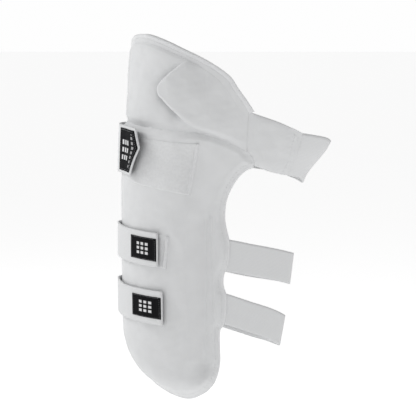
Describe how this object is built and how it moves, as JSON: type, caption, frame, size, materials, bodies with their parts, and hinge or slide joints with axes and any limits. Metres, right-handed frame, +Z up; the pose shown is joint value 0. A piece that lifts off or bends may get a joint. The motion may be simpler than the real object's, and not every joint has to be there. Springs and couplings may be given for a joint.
{
  "type": "cricket thigh guard",
  "caption": "Padded cricket guard for the outside of a left thigh, with a hinged hip panel, a raised bolster and elastic straps that close with hook-and-loop tabs.",
  "frame": {"origin": "on the thigh's axis, level with the middle strap", "axes": "+Z up the thigh, -X towards the front of the leg, -Y towards its outer side"},
  "size_m": [0.2607, 0.2339, 0.4366],
  "materials": {
    "cover": "matte woven polyester",
    "lining": "matte towelling",
    "foam": "matte closed-cell foam",
    "plate": "satin moulded sheet",
    "binding": "matte folded tape",
    "elastic": "matte ribbed elastic",
    "patch": "fuzzy loop pile",
    "hook": "matte hook tape",
    "label": "matte black woven label"
  },
  "bodies": {
    "thigh_pad": {"main_cover": "cover", "main_lining": "lining", "main_comfort_foam": "foam", "impact_plate": "plate", "main_foam_core": "foam", "main_edge_binding": "binding", "flex_seam_strip": "lining", "wing_cover": "cover", "wing_foam": "foam", "wing_lining": "lining", "upper_loop_patch": "patch", "middle_loop_patch": "patch", "lower_loop_patch": "patch", "upper_elastic_back": "elastic", "middle_elastic_back": "elastic", "lower_elastic_back": "elastic"},
    "hip_guard": {"hip_cover": "cover", "hip_lining": "lining", "hip_foam_core": "foam", "hip_bolster_cover": "cover", "hip_bolster_foam": "foam", "hip_edge_binding": "binding"},
    "upper_strap": {"upper_elastic_front": "elastic"},
    "upper_tab": {"upper_tab_webbing": "elastic", "upper_hook_patch": "hook", "upper_label": "label"},
    "middle_strap": {"middle_elastic_front": "elastic"},
    "middle_tab": {"middle_tab_webbing": "elastic", "middle_hook_patch": "hook", "middle_label": "label"},
    "lower_strap": {"lower_elastic_front": "elastic"},
    "lower_tab": {"lower_tab_webbing": "elastic", "lower_hook_patch": "hook", "lower_label": "label"}
  },
  "joints": [
    {"name": "hip_flex", "type": "hinge", "parent": "thigh_pad", "child": "hip_guard", "pos_m": [-0.0818, -0.0737, 0.164], "axis": [0.7885, -0.5939, -0.1597], "range_deg": [0, 10], "stiffness_Nm_per_rad": 0.3},
    {"name": "upper_strap_swing", "type": "hinge", "parent": "thigh_pad", "child": "upper_strap", "pos_m": [0, 0.09714, 0.134], "axis": [0, 0, -1], "range_deg": [0, 60]},
    {"name": "upper_tab_peel", "type": "hinge", "parent": "upper_strap", "child": "upper_tab", "pos_m": [-0.11414, 0.012, 0.1372], "axis": [0, 0, -1], "range_deg": [0, 60]},
    {"name": "middle_strap_swing", "type": "hinge", "parent": "thigh_pad", "child": "middle_strap", "pos_m": [0, 0.09059, -0.00496], "axis": [0, 0, -1], "range_deg": [0, 60]},
    {"name": "middle_tab_peel", "type": "hinge", "parent": "middle_strap", "child": "middle_tab", "pos_m": [-0.11514, 0.0121, 0.02574], "axis": [0, 0, -1], "range_deg": [0, 60]},
    {"name": "lower_strap_swing", "type": "hinge", "parent": "thigh_pad", "child": "lower_strap", "pos_m": [0, 0.08745, -0.0763], "axis": [0, 0, -1], "range_deg": [0, 60]},
    {"name": "lower_tab_peel", "type": "hinge", "parent": "lower_strap", "child": "lower_tab", "pos_m": [-0.11524, 0.01211, -0.04213], "axis": [0, 0, -1], "range_deg": [0, 60]}
  ],
  "couplings": [
    {"joint": "upper_tab_peel", "follows": "upper_strap_swing", "ratio": 1},
    {"joint": "middle_tab_peel", "follows": "middle_strap_swing", "ratio": 1},
    {"joint": "lower_tab_peel", "follows": "lower_strap_swing", "ratio": 1}
  ]
}
